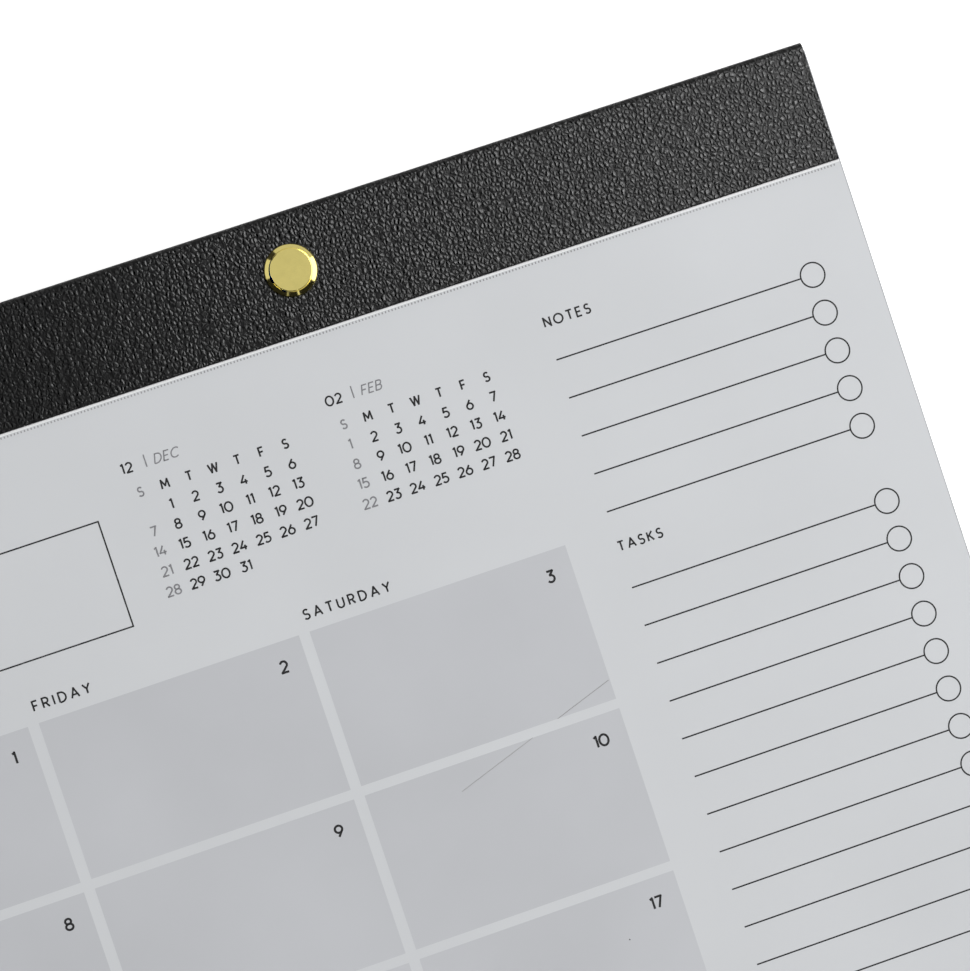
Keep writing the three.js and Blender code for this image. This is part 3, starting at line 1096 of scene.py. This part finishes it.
def brass_finish(name, tone, low, high):
    finish, nodes, links, shader = new_finish(name, 0.2, 1.0)
    cloud = effect(nodes, cloud_group, Scale=700, Detail=5)
    dark = [channel * CLOUD_SHADE for channel in tone]
    links.new(tint(nodes, links, cloud, dark, tone), shader.inputs["Base Color"])
    brushed = effect(nodes, fibre_group, Scale=9000, Stretch=12)
    links.new(spread(nodes, links, brushed, low, high), shader.inputs["Roughness"])
    links.new(bump(nodes, links, brushed, BRUSHED_RELIEF, 0.5), shader.inputs["Normal"])
    return finish


polished_brass = brass_finish("brass_polished", (0.87, 0.745, 0.255), 0.05, 0.16)
plain_brass = brass_finish("brass_plain", (0.72, 0.56, 0.22), 0.25, 0.45)
for side in ("left", "right"):
    dress(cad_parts[f"post_screw_{side}"], plain_brass)
print("finishes:", polished_brass.name, plain_brass.name)

# %% [markdown]
# A post is turned from the bar: a bored barrel, then the head with its rim, bevel, groove and
# flat face. It starts as a filled circle, the end of the bore, and each turn of the profile is
# one extrude and one resize. Radii and heights are in millimetres, and heights are over the
# band's face.

# %% Screw posts
POST_PROFILE = [
    (1.7, -1.2),
    (1.7, -4.0),
    (2.5, -4.0),
    (2.5, 0.0),
    (5.0, 0.0),
    (5.0, 0.28),
    (4.84, 0.54),
    (4.12, 1.09),
    (4.05, 1.04),
    (3.98, 1.05),
    (3.94, 1.19),
    (3.86, 1.25),
]
SMOOTH_UNDER = math.radians(8)


def turned_post(name, x, y, profile, sides=96):
    first_radius, first_height = profile[0]
    bpy.ops.object.select_all(action="DESELECT")
    bpy.ops.mesh.primitive_circle_add(
        vertices=sides,
        radius=first_radius * MM,
        fill_type="NGON",
        location=(x, y, BAND_FRONT + first_height * MM),
    )
    post = named(bpy.context.object, name)
    bpy.ops.object.mode_set(mode="EDIT")
    bpy.ops.mesh.select_all(action="SELECT")
    for (radius, height), (next_radius, next_height) in zip(profile, profile[1:]):
        bpy.ops.mesh.extrude_region_move(
            TRANSFORM_OT_translate={"value": (0, 0, (next_height - height) * MM)}
        )
        share = next_radius / radius
        bpy.ops.transform.resize(value=(share, share, 1), center_override=(x, y, 0))
    bpy.ops.object.mode_set(mode="OBJECT")
    return settle(post)


for side in ("left", "right"):
    low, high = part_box(f"post_{side}")
    x, y = (low[0] + high[0]) / 2, (low[1] + high[1]) / 2
    post = turned_post(f"screw_post_{side}", x, y, POST_PROFILE)
    select_only(post)
    bpy.ops.object.mode_set(mode="EDIT")
    bpy.ops.mesh.select_all(action="SELECT")
    bpy.ops.mesh.normals_make_consistent(inside=False)
    bpy.ops.object.mode_set(mode="OBJECT")
    bpy.ops.object.shade_smooth_by_angle(angle=SMOOTH_UNDER)
    dress(post, polished_brass)
    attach(post, "root")
    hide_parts(f"post_{side}")
    print(post.name, "faces:", len(post.data.polygons))

# %% [markdown]
# The floor is a plain pale sheet. The camera sees it a little brighter than it is, so that it
# reads as white paper while it still takes the pad's soft shadow.

# %% Floor
FLOOR_SIZE = 6
FLOOR_TONE = 0.9
FLOOR_GLOW = 0.45
bpy.ops.object.select_all(action="DESELECT")
bpy.ops.mesh.primitive_plane_add(size=FLOOR_SIZE, location=(0, 0, 0))
floor = named(bpy.context.object, "floor")
floor_finish, nodes, links, shader = new_finish("floor_white", 0.9)
shader.inputs["Base Color"].default_value = (FLOOR_TONE, FLOOR_TONE, FLOOR_TONE, 1)
path = nodes.new("ShaderNodeLightPath")
glow = nodes.new("ShaderNodeMath")
glow.operation = "MULTIPLY"
glow.inputs[1].default_value = FLOOR_GLOW
links.new(path.outputs["Is Camera Ray"], glow.inputs[0])
shader.inputs["Emission Color"].default_value = (1, 1, 1, 1)
links.new(glow.outputs[0], shader.inputs["Emission Strength"])
dress(floor, floor_finish)
print("floor size:", FLOOR_SIZE, "m")

# %% [markdown]
# Everything rides on the one body.

# %% Attaching to the body
for piece in [top_sheet, day_boxes, rules, frame_box, slit_shade_patch, stub, *prints]:
    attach(piece, "root")
